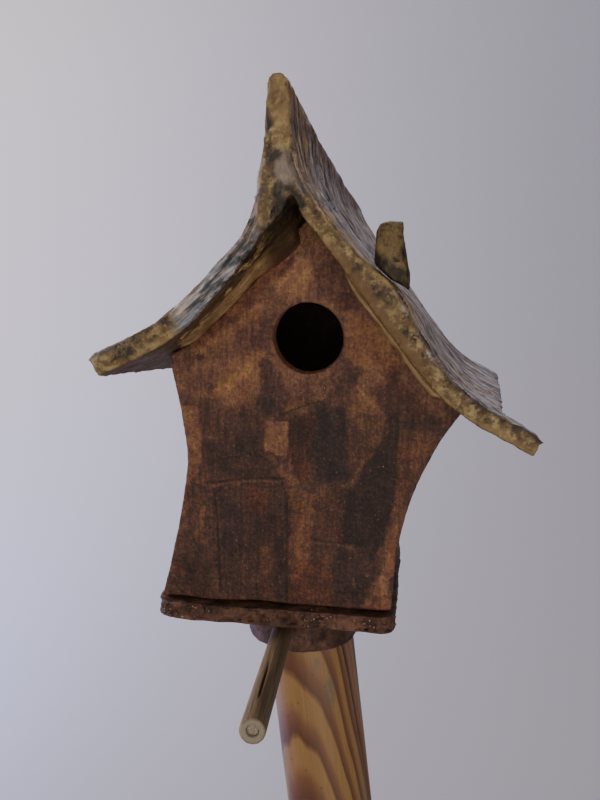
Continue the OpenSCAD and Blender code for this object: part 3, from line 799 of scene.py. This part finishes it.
thumbed = add(bead, "GeometryNodeSetPosition", {"Geometry": rolled, "Offset": pushed})
dress(bead, thumbed, coil_clay)


def roof_above(x, y):
    """The height of the roof's underside over a place."""
    hit = roof_form.ray_cast(Vector((x, y, 60)), Vector((0, 0, 1)))[0]
    return hit[2] if hit else roof_above(x, y * 0.97)


def pressed(points, line, reach, fall, ridge, apex_x):
    """Presses a round bead into a hollow fillet between the wall and the roof's underside.

    reach is how far it was drawn out under the roof, fall how far it came down
    the wall, and ridge how proud the thumb left its lower edge. It also returns
    how far round each point lies, from the wall (0) to the roof's edge (1), how
    far back along the hidden side, and how full the bead is there."""
    outward = math.copysign(1, line[0, 1])
    wall_y = outward * (WALL_FACE - 0.5)
    low, high = line[0, 0], line[-1, 0]
    on_left = high < 30
    outer, apex_end = (low, high) if on_left else (high, low)
    share = (np.clip(points[:, 0], low, high) - outer) / (apex_end - outer)
    centre = outer + share * (apex_x - outer)
    from_tip = np.abs(centre - apex_x)

    # The slope of the roof above, smoothed.
    xs = np.linspace(min(outer, apex_x), max(outer, apex_x), 90)
    zs = np.array([roof_above(x, wall_y + outward * 3) for x in xs])
    zs = np.convolve(np.pad(zs, 7, "edge"), np.ones(15) / 15, "valid")
    slope = np.interp(centre, xs, np.arctan(np.gradient(zs, xs)))
    into = np.stack([np.sin(slope), 0 * slope, -np.cos(slope)], 1)

    # Where each point sits round the bead: 270 degrees show and 90 are hidden.
    line_slope = np.arctan(np.gradient(line[:, 2], line[:, 0]))
    up = points[:, 2] - np.interp(points[:, 0], line[:, 0], line[:, 2])
    up *= np.cos(np.interp(points[:, 0], line[:, 0], line_slope))
    out = (points[:, 1] - line[0, 1]) * outward
    around = (np.degrees(np.arctan2(up, out)) - 180) % 360
    t = np.clip(around / 270, 0, 1)
    hidden = np.clip((around - 270) / 90, 0, 1)

    ends = np.minimum(rise(np.abs(centre - outer), 0, 7), rise(from_tip, -3, 6))
    lower = 1.0 if on_left else rise(from_tip, 12, 30)
    reach_here, fall_here = reach * (0.35 + 0.65 * ends), 0.8 + fall * ends * lower
    fall_here = fall_here + 6 * on_left * (
        (1 - rise(from_tip, 6, 22)) * rise(from_tip, 0, 5))
    back = reach_here * (1 - np.clip(hidden / 0.7, 0, 1))
    far = np.where(hidden > 0, back, reach_here * t ** 1.25)
    ridge_here = ridge * ends * lower * (1 - rise(np.abs(t - 0.10), 0.02, 0.12))
    rising = -1.2 + (fall_here + 1.0) * np.clip((hidden - 0.7) / 0.3, 0, 1)
    down = np.where(hidden > 0, rising, fall_here * (1 - t) ** 1.9 - 0.4 * t)
    y = wall_y + outward * (far + ridge_here * (hidden == 0))
    y -= outward * 0.5 * (hidden > 0.7)
    z = np.array([roof_above(a, b) for a, b in zip(centre, y)])
    return np.stack([centre, y, z], 1) + into * down[:, None], t, hidden, lower * ends


# How far each bead was drawn out under the roof, came down the wall, and how
# proud its lower edge was left, in mm.
PRESSED = {"front_left_coil": (29.5, 1.0, 0.0), "front_right_coil": (16, 5.0, 1.0),
           "back_left_coil": (13, 5.0, 0.7), "back_right_coil": (13, 5.0, 0.7)}
LEFT_APEX_X, RIGHT_APEX_X = 1.5, 3.5  # where the beads end beside the apex
EDGE = 0.61  # how far round the long bead its edge under the roof lies
for node, (reach, fall, ridge) in PRESSED.items():
    line = middle_line(node)
    base = bpy.data.meshes.new("line")
    base.from_pydata([tuple(p) for p in line], [(i, i + 1) for i in range(len(line) - 1)], [])
    numbers["Seed"] += 1
    mesh = grow(bead, base, numbers)
    points, _ = places(mesh)
    apex_x = LEFT_APEX_X if "left" in node else RIGHT_APEX_X
    points, t, hidden, ends = pressed(points, line, reach, fall, ridge, apex_x)
    move(mesh, points)
    points, normals = places(mesh)
    thumbed_by = 0.45 * lumps(points, (14, 14, 7), 33, 2)
    thumbed_by *= rise(t, 0.05, 0.3) * (hidden == 0)
    move(mesh, points + normals * thumbed_by[:, None])
    loose = 0.12 * lumps(points, 7, 34, 2)
    # Painted shade: near-black on the front beads by the apex, under the arch, and a dark line
    # along the long bead's crease with the roof's edge.
    from_apex = np.abs(points[:, 0] - 2)
    long_bead = node == "front_left_coil"
    soot = ("front" in node) * (1 - rise(from_apex, 7, 24 if long_bead else 13))
    at_tip = 1 - rise(from_apex + 6 * loose, 9, 18)
    if long_bead:
        soot *= np.maximum(rise(t + loose, 0.35, 0.6), 0.85 * at_tip)
    edge_line = 1 - rise(np.abs(t + 0.4 * loose - EDGE), 0.015, 0.05)
    keep(mesh, soot=np.clip(soot + 0.6 * edge_line * long_bead, 0, 1))
    keep(mesh, rim=rise(t + 0.4 * loose, EDGE, EDGE + 0.04) * long_bead)
    # Next to the wall the bead takes the wall's stain, painted lighter to offset the shade under
    # the eaves.
    stained_to = 0.10 + 0.15 * (1 - rise(from_apex, 8, 26)) if long_bead else 0.04
    keep(mesh, joined=1 - rise(t + loose, stained_to - 0.12, stained_to + 0.1))
    # Painted highlight: a lighter line along the proud lower edge.
    lip = 1 - rise(np.abs(t - 0.10), 0.03, 0.10)
    keep(mesh, lip=lip * (ridge > 0) * ends)
    place(node + "_bead", mesh, coil_clay, "roof_stoneware", node)

# ---- Floor slab
# One thick slab of dark groggy clay, rolled out and torn to size by hand; its
# edges were never smoothed. The walls were luted onto it. It reads as nearly
# black brown, dull and coarse, with crumbs and pits that catch the light.
dark_clay = stoneware(
    "dark_groggy_clay", "#493228", "#30201a", "#634839", "#1f1410", 0.53)[0]
slab_mesh = skin(["floor_slab"], cell=0.75, rounds=3)
points, normals = places(slab_mesh)
edge = 1 - rise(np.abs(normals[:, 2]), 0.3, 0.85)
torn_out = 1.7 * np.abs(lumps(points, (6, 6, 4), 10, 3))
torn_out += 1.5 * rise(lumps(points, 2.4, 27, 2), -0.1, 0.35)
lift = 0.8 * lumps(points, (16, 16, 10), 9, 2) - edge * torn_out
move(slab_mesh, points + normals * lift[:, None])
groggy = rise(lumps(points, (14, 14, 8), 28, 2), -0.3, 0.3)
keep(slab_mesh, grog=(0.15 + 0.85 * edge) * groggy)
skins["slab"] = slab_mesh.copy()
place("floor_slab_torn", slab_mesh, dark_clay, "dark_clay", "floor_slab")

# ---- Collar
# A short tube of the same dark clay, coiled by hand and luted under the floor;
# it drops loosely over the pole's end and keeps the house from sliding off.
collar_mesh = skin(["collar"], cell=0.8, rounds=3)
points, normals = places(collar_mesh)
lift = 0.5 * lumps(points, (22, 22, 2.6), 11, 2) + 0.3 * lumps(points, (4, 4, 3), 14, 3)
move(collar_mesh, points + normals * lift[:, None])
place("collar_tube", collar_mesh, dark_clay, "dark_clay", "collar")

# ---- Chimney
# A little tapered stub of the roof's clay, rolled in the hand, cut to the slope
# and thumbed onto the right slab. It reads as olive-brown and matt, with black
# oxide down its sides and round its foot.
chimney_mesh = skin(["chimney"], cell=0.5, rounds=45)
points, normals = places(chimney_mesh)
top, low = points[:, 2].max(), points[:, 2].min()
upper_half = points[:, 2] > (top + low) / 2
leaning = np.polyfit(points[upper_half, 2], points[upper_half, 0], 1)
off_axis = points[:, 0] - np.polyval(leaning, points[:, 2])
from_roof = away_from(points, normals[:, 2] < -0.3)
lift = 0.35 * lumps(points, (6, 6, 9), 12, 2) + 0.12 * lumps(points, 2, 15, 2)
points += normals * lift[:, None]
# Its upper left edge was pressed round, and its foot was spread to the right.
crown = rise(points[:, 2], top - 5.5, top + 1)
points[:, 0] += 1.5 * crown * rise(-off_axis, -2, 7)
points[:, 2] -= 0.9 * crown * rise(-off_axis, -1, 7)
foot = 1 - rise(points[:, 2], low + 5, low + 24)
points[:, 0] += 2.4 * foot * rise(off_axis, 0, 5)
move(chimney_mesh, points)
ragged = lumps(points, (3, 3, 6), 16, 2)
stain = 1.2 * (1 - rise(from_roof, 2.0, 6.5))
stain += 0.7 * rise(np.abs(off_axis) + 1.5 * ragged, 4.6, 6.4)
keep(chimney_mesh, soot=np.clip(stain * (1 + 0.8 * ragged), 0, 1))
chimney_clay, tree, shader, _, painted = stoneware(
    "chimney_stoneware", "#675839", "#4a3d28", "#80714d", "#2f251c", 0.54)
painted = over(tree, painted, ("soot", "#17130f", 0.9))
feed(tree, shader, {"Base Color": painted})
place("chimney_stub", chimney_mesh, chimney_clay, "roof_stoneware", "chimney")

# ---- Perch
# A cut length of reed cane pushed through the collar's wall: a thin
# green-brown skin, a cream ring of wood, and dry pith in the bore.


def axis_of(node):
    """The two ends and the radius of a round rod, in house millimetres."""
    points = house_points(node)
    middle = points.mean(0)
    way = np.linalg.svd(points - middle, full_matrices=False)[2][0]
    way = way if way[1] < 0 else -way
    along = (points - middle) @ way
    away = np.linalg.norm(points - middle - along[:, None] * way, axis=1)
    return middle + way * along.min(), middle + way * along.max(), away.max()


def turned_mesh(name, start, end, profile, around, ring=True):
    """A turned form about the line from start to end.

    profile is (how far along, radius) pairs. A ring's profile closes on itself;
    otherwise its first and last points are poles."""
    start, end = np.array(start, float), np.array(end, float)
    way = (end - start) / np.linalg.norm(end - start)
    side = np.cross(way, (0, 0, 1.0)) if abs(way[2]) < 0.9 else np.array((1.0, 0, 0))
    side /= np.linalg.norm(side)
    up = np.cross(side, way)
    angle = np.linspace(0, 2 * math.pi, around, endpoint=False)
    spokes = np.outer(np.cos(angle), side) + np.outer(np.sin(angle), up)
    body = profile if ring else profile[1:-1]
    points = np.concatenate([start + way * t + spokes * r for t, r in body])
    rows = len(body)
    faces = []
    for row in range(rows if ring else rows - 1):
        here, after = row * around, (row + 1) % rows * around
        faces += [(here + i, here + (i + 1) % around, after + (i + 1) % around, after + i)
                  for i in range(around)]
    if not ring:
        poles = [start + way * profile[0][0], start + way * profile[-1][0]]
        points = np.concatenate([points, poles])
        last = (rows - 1) * around
        faces += [(len(points) - 2, (i + 1) % around, i) for i in range(around)]
        faces += [(len(points) - 1, last + i, last + (i + 1) % around) for i in range(around)]
    mesh = bpy.data.meshes.new(name)
    mesh.from_pydata(points.tolist(), [], faces)
    fix = bmesh.new()
    fix.from_mesh(mesh)
    bmesh.ops.recalc_face_normals(fix, faces=fix.faces)
    fix.to_mesh(mesh)
    fix.free()
    return mesh


CANE_GROWTH = 1.06  # the cane is a little thicker than its plain rod
start, end, cane_r = axis_of("perch_cane")
cane_r *= CANE_GROWTH
pith_start, pith_end, pith_r = axis_of("perch_pith")
long = np.linalg.norm(end - start)
outer = [(t, cane_r) for t in np.arange(0, long - 0.5, 0.8)]
rounded = [(long - 0.35, cane_r - 0.05), (long - 0.1, cane_r - 0.2), (long, cane_r - 0.5)]
cut = [(long - 0.05 * k, r) for k, r in enumerate(np.linspace(cane_r - 0.9, pith_r + 0.35, 6))]
inner = [(t, pith_r + 0.02) for t in np.linspace(long - 0.6, 0.0, 24)]
cane_mesh = turned_mesh("cane", start, end, outer + rounded + cut + inner, 120)
points, normals = places(cane_mesh)
way = (end - start) / long
along = (points - start) @ way
from_axis = points - start - along[:, None] * way
radius = np.linalg.norm(from_axis, axis=1)
turn = np.degrees(np.arctan2(from_axis[:, 2], from_axis[:, 0]))
skin_side = rise(radius, cane_r - 1.2, cane_r - 0.3)

# A drying split runs along the top, some 60 to 100 mm from the inner end.
split_at = 96 - 0.10 * (along - 60)
from_split = np.abs(turn - split_at) * cane_r * math.pi / 180
split = (1 - rise(from_split, 0.25, 0.75)) * skin_side
split *= rise(along, 58, 76) * (1 - rise(along, 94, 103))
ribs = lumps(np.stack([turn * 0.6, along * 0.02, radius * 0], 1), (1, 1, 1), 17, 3)
lift = 0.08 * ribs * skin_side - 0.9 * split
lift -= 0.25 * rise(along, long - 2, long) * np.abs(lumps(points, 1.5, 18, 2))
move(cane_mesh, points + normals * lift[:, None])
end_grain = (1 - skin_side) * rise(along, long - 1.5, long - 0.8)
worn = rise(-np.abs(turn - 165), -28, -8) + rise(-np.abs(turn + 165), -28, -8)
keep(cane_mesh, split=split, turn=turn / 180, along=along / long, end_grain=end_grain,
     worn=worn)

# Weathered reed: grey-brown and dull, in fine fibres that run lengthwise, about
# 1 mm apart, with a paler worn side.
cane, tree, shader, mm = new_material("dry_cane")
turn_part = add(tree, "ShaderNodeAttribute", attribute_name="turn")
along_part = add(tree, "ShaderNodeAttribute", attribute_name="along")
fibres = add(tree, "ShaderNodeCombineXYZ", {0: turn_part, 1: along_part})
stretched = add(tree, "ShaderNodeMapping", {"Vector": fibres, "Scale": (26, 3, 1)})
streaks = add(tree, "ShaderNodeTexNoise",
              {"Vector": stretched, "Scale": 1, "Detail": 6, "Roughness": 0.65})
painted = add(tree, "ShaderNodeValToRGB", {"Fac": streaks},
              stops=((0.3, "#4a3a2b"), (0.75, "#8a7a64"), (0.45, "#62513d"), (0.6, "#75644e")))
painted = over(tree, painted, ("worn", "#a08f76", 0.55), ("end_grain", "#757263", 1.0),
               ("split", "#120c08", 0.95))
finish(tree, shader, painted, 0.68, 0.2, streaks, 0.4, 0.0004)
place("perch_cane_skin", cane_mesh, cane, "cane", "perch_cane")

pith_long = np.linalg.norm(pith_end - pith_start)
body_r = pith_r - 0.05
profile = [(0, 0), (0, 0.8), (0, body_r)]
profile += [(t, body_r) for t in np.linspace(1, pith_long - 0.4, 30)]
profile += [(pith_long - 0.25, r) for r in np.linspace(pith_r - 0.1, 0.2, 9)]
profile += [(pith_long - 0.3, 0)]
pith_mesh = turned_mesh("pith", pith_start, pith_end, profile, 48, ring=False)
points, normals = places(pith_mesh)
way = (pith_end - pith_start) / pith_long
face = rise((points - pith_start) @ way, pith_long - 0.5, pith_long - 0.35)
torn_face = face * 0.35 * lumps(points, 1.2, 19, 2)
move(pith_mesh, points + way * torn_face[:, None])
# Dry foamy pith: matt, pale brown, with cells drawn 0.6 mm wide so that they show.
pith, tree, shader, mm = new_material("dry_pith")
cells = add(tree, "ShaderNodeTexNoise",
            {"Vector": mm, "Scale": 1.6, "Detail": 4, "Roughness": 0.7})
painted = add(tree, "ShaderNodeValToRGB", {"Fac": cells},
              stops=((0.35, "#5a5044"), (0.65, "#94897a"), (0.5, "#7a6f62")))
finish(tree, shader, painted, 0.85, 0.5, cells, 0.8, 0.0005)
place("perch_pith_core", pith_mesh, pith, "pith", "perch_pith")

# ---- Pole
# A turned softwood pole, its growth rings cut on a slant so that they show
# as broad arches, with one long drying check down its front.
EDGE_ROUND = 0.8
RING_WIDTH = 2.6
pole_r, pole_top = (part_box("pole")[1][i] * 1000 for i in (0, 2))
degree = pole_r * math.pi / 180  # one degree round the pole, in mm
profile = [(0, 0), (0, pole_r * 0.5), (0, pole_r - EDGE_ROUND), (EDGE_ROUND, pole_r)]
profile += [(z, pole_r) for z in np.linspace(2.5, pole_top - 1.5, 150)]
profile += [(pole_top - EDGE_ROUND, pole_r), (pole_top, pole_r - EDGE_ROUND),
            (pole_top, pole_r * 0.5), (pole_top, 0)]
pole_mesh = turned_mesh("pole", (0, 0, 0), (0, 0, pole_top), profile, 300, ring=False)
points, normals = places(pole_mesh)
x, y, z = points.T
turn = np.degrees(np.arctan2(x, -y))
check_turn = 50.0 + 0.27 * (500 - z) + 2.0 * lumps(points * (0, 0, 1), (1, 1, 40), 20, 2)
past_check = turn - check_turn
open_by = rise(z, 190, 330)
check = (1 - rise(np.abs(past_check) * degree, 0.9, 2.1)) * open_by
grey_strip = (1 - rise(past_check, 14, 26)) * rise(past_check, 0, 2) * open_by
from_pith = np.hypot(x - 4.5, y - 9.6 + 0.07 * (z - 417))
from_pith += 1.3 * lumps(points, (28, 28, 130), 22, 2) + 0.25 * lumps(points, (6, 6, 40), 23, 2)
side = rise(np.hypot(x, y), pole_r - 1.2, pole_r - 0.6)
lift = (0.08 * lumps(points, (9, 9, 60), 24, 2) - 2.2 * check) * side
move(pole_mesh, points + normals * lift[:, None])
mould = 1 - rise(np.hypot((turn - 27) * degree / 3.6, (z - 450) / 9), 0.4, 1.3)
spot = 1 - rise(np.hypot((turn - 14) * degree / 3, (z - 466) / 4), 0.4, 1.3)
mould = np.maximum(mould, 0.8 * spot) * (0.7 + 0.6 * lumps(points, (3, 3, 5), 25, 2))
keep(pole_mesh, rings=from_pith / RING_WIDTH, check=check, grey=grey_strip, mould=mould)

# Bare pine gone brown outdoors, with a soft shine: amber early wood, red-brown
# late wood in rings 2.6 mm wide, lengthwise fibres 1 mm apart and dark flecks.
pine, tree, shader, mm = new_material("weathered_pine", 0, (0, 0, 0))
rings_part = add(tree, "ShaderNodeAttribute", attribute_name="rings")
phase = add(tree, "ShaderNodeMath", {0: rings_part}, operation="FRACT")
painted = add(tree, "ShaderNodeValToRGB", {"Fac": phase},
              stops=((0.0, "#80633a"), (1.0, "#795c36"), (0.38, "#7d6038"), (0.60, "#64432a"),
                     (0.88, "#4c2c1b"), (0.96, "#6b4c2c")))
stretched = add(tree, "ShaderNodeMapping", {"Vector": mm, "Scale": (0.9, 0.9, 0.03)})
fibres = add(tree, "ShaderNodeTexNoise",
             {"Vector": stretched, "Scale": 1, "Detail": 6, "Roughness": 0.6})
painted = flecked(tree, painted, fibres, 0.4, 0.75, 0.45, "#5b3c22")
dots = add(tree, "ShaderNodeTexNoise",
           {"Vector": mm, "Scale": 0.35, "Detail": 3, "Roughness": 0.6})
painted = flecked(tree, painted, dots, 0.66, 0.72, 0.7, "#3b2819")
painted = over(tree, painted, ("grey", "#7a5a44", 0.4), ("mould", "#474740", 0.75),
               ("check", "#2a1109", 0.95))
finish(tree, shader, painted, 0.5, 0.5, fibres, 0.35, 0.0004)
pole_mesh.transform(Matrix.Scale(0.001, 4))
hand_over("pole_turned", pole_mesh, pine, "pine", "pole")

# ---- Grog
# Crushed fired clay in the body: pale grains that stand a little proud where
# the slabs were scraped, thickest on the torn slab and beside the entrance.
# To the eye they are small tan to cream points, a little glossier than the clay.
WALL_GRAINS, SLAB_GRAINS = 0.06, 0.12  # the most of them on a square mm
grog, tree, shader, mm = new_material("grog_grains")
hue = add(tree, "ShaderNodeTexNoise", {"Vector": mm, "Scale": 0.35, "Detail": 2})
painted = add(tree, "ShaderNodeValToRGB", {"Fac": hue},
              stops=((0.35, "#5e4433"), (0.65, "#94806a"), (0.5, "#775c48")))
feed(tree, shader, {"Base Color": painted, "Roughness": 0.4})

numbers = {"Grains a square mm": WALL_GRAINS, "Smallest": 0.2, "Largest": 0.5, "Seed": 3}
sprinkle, given = nodes_of("sprinkled grog", numbers)
thick = add(sprinkle, "GeometryNodeInputNamedAttribute", {"Name": "grog"})
dense = add(sprinkle, "ShaderNodeMath", {0: thick, 1: given.outputs["Grains a square mm"]},
            operation="MULTIPLY")
spots = add(sprinkle, "GeometryNodeDistributePointsOnFaces",
            {"Mesh": given.outputs["Geometry"], "Density": dense, "Seed": given.outputs["Seed"]})
grain_form = add(sprinkle, "GeometryNodeMeshIcoSphere", {"Radius": 1.0, "Subdivisions": 1})
size = add(sprinkle, "FunctionNodeRandomValue",
           {2: given.outputs["Smallest"], 3: given.outputs["Largest"],
            "Seed": given.outputs["Seed"]}, data_type="FLOAT")
sown = add(sprinkle, "GeometryNodeInstanceOnPoints",
           {"Points": spots, "Instance": grain_form, "Rotation": spots.outputs["Rotation"],
            "Scale": size.outputs[1]})
dress(sprinkle, sown, grog)
for host, base in skins.items():
    numbers["Seed"] += 1
    numbers["Grains a square mm"] = SLAB_GRAINS if host == "slab" else WALL_GRAINS
    slot = "dark_clay" if host == "slab" else "stained_stoneware"
    place(host + "_grog", grow(sprinkle, base, numbers), grog, slot)

# ---- Floor and light
# A sheet of matt, pale paper that curves up behind, a wide window on the left,
# and a cool ceiling behind the roof that draws its glossy upper edges.
HALF_WIDE, BEND_Y, BEND_R, BACK_HIGH = 3.0, 0.6, 1.2, 3.0  # metres
quarter = np.linspace(0, math.pi / 2, 24)
profile = [(-HALF_WIDE, 0.0)]
profile += [(BEND_Y + BEND_R * math.sin(a), BEND_R - BEND_R * math.cos(a)) for a in quarter]
profile += [(BEND_Y + BEND_R, BACK_HIGH)]
sweep_points = [(x, y, z) for y, z in profile for x in (-HALF_WIDE, HALF_WIDE)]
sweep_faces = [(2 * i, 2 * i + 1, 2 * i + 3, 2 * i + 2) for i in range(len(profile) - 1)]
floor_mesh = bpy.data.meshes.new("studio_floor")
floor_mesh.from_pydata(sweep_points, [], sweep_faces)
floor_mesh.polygons.foreach_set("use_smooth", [True] * len(floor_mesh.polygons))
floor = stand("studio_floor", floor_mesh)
paper, tree, shader, _ = new_material("pale_paper")
feed(tree, shader, {"Base Color": tone("#d6d4d8"), "Roughness": 0.9})
floor.data.materials.append(paper)

world = bpy.data.worlds.new("studio")
bpy.context.scene.world = world
world.use_nodes = True
feed(world.node_tree, world.node_tree.nodes["Background"],
     {"Color": tone("#e2e2ea"), "Strength": 0.26})
subject = bpy.data.collections.new("subject")
for piece in bpy.context.scene.objects:
    if piece.type == "MESH" and piece is not floor:
        subject.objects.link(piece)
# Each lamp: its place, its aim and its size in metres, its watts and its tint,
# and whether it lights the birdhouse alone.
for name, at, aim, size, power, tint, only_subject in (
        ("window", (-1.5, 0.35, 1.3), (-0.4, 1.7, 1.15), 1.0, 35, "#fff2ea", False),
        ("sky", (0.25, 0.7, 1.75), (0.0, 0.0, 0.65), 1.2, 15, "#f0edff", True),
        ("low_sky", (-1.2, 0.5, 0.15), (-0.3, 1.3, 0.2), 0.6, 13, "#5f90ff", False),
        ("bounce", (0.3, -0.9, 0.12), (0.0, 0.0, 0.68), 1.0, 6, "#ffeee0", True),
        ("room", (0.0, -1.3, 0.85), (0.0, 0.0, 0.62), 1.3, 14, "#fff1e4", True)):
    lamp = stand(name, bpy.data.lights.new(name, "AREA"))
    lamp.data.size = size
    lamp.data.energy = power
    lamp.data.color = tone(tint)[:3]
    lamp.visible_camera = False
    lamp.location = at
    lamp.rotation_euler = (Vector(at) - Vector(aim)).to_track_quat("Z", "Y").to_euler()
    if only_subject:
        lamp.light_linking.receiver_collection = subject
